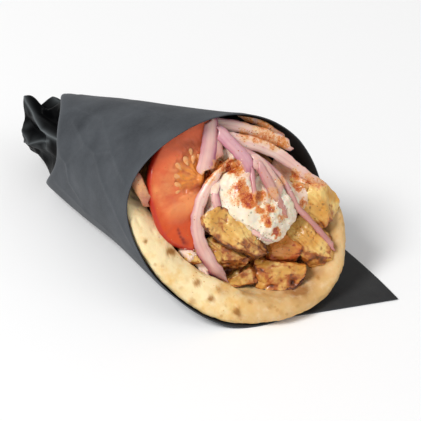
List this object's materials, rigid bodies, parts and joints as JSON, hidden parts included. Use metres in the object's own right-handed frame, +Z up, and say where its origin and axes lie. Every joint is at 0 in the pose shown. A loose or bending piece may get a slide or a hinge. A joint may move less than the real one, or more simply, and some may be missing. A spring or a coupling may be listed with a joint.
{
  "type": "chicken gyro pita in a paper cone",
  "caption": "Chicken gyro: a pita trough of grilled chicken, tomato, red onion and yogurt sauce, rolled in a dark paper cone that lies on its side.",
  "frame": {"origin": "on the table, under the middle of the whole lying wrap", "axes": "+Z up from the table, +Y along the cone from its mouth to the twisted tail, +X to the side of the paper's flap"},
  "size_m": [0.1084, 0.2258, 0.088],
  "materials": {
    "paper": "dark slate grey wrapping paper, matt, softly dented and creased",
    "pita_bread": "soft pale wheat bread with golden areas and brown griddle spots",
    "grilled_chicken": "golden grilled chicken with browned edges, herbs and a thin shine of oil",
    "packed_filling": "chicken and juices packed behind the pieces that show",
    "tomato": "wet cut tomato, orange-red flesh, seeds in gel, dark red skin",
    "red_onion": "pale lilac onion with purple edges, slightly see-through",
    "yogurt": "thick white yogurt sauce with herb flecks and paprika"
  },
  "bodies": {
    "root": {"paper_wrap": "paper", "pita": "pita_bread", "filling_core": "packed_filling", "tomato_slice": "tomato", "yogurt_sauce": "yogurt", "chicken_1": "grilled_chicken", "chicken_2": "grilled_chicken", "chicken_3": "grilled_chicken", "chicken_4": "grilled_chicken", "chicken_5": "grilled_chicken", "chicken_6": "grilled_chicken", "chicken_7": "grilled_chicken", "chicken_8": "grilled_chicken", "chicken_9": "grilled_chicken", "chicken_10": "grilled_chicken", "onion_1": "red_onion", "onion_2": "red_onion", "onion_3": "red_onion", "onion_4": "red_onion", "onion_5": "red_onion", "onion_6": "red_onion", "onion_7": "red_onion", "onion_8": "red_onion", "onion_9": "red_onion", "onion_10": "red_onion", "onion_11": "red_onion", "onion_12": "red_onion", "onion_13": "red_onion"}
  },
  "joints": []
}
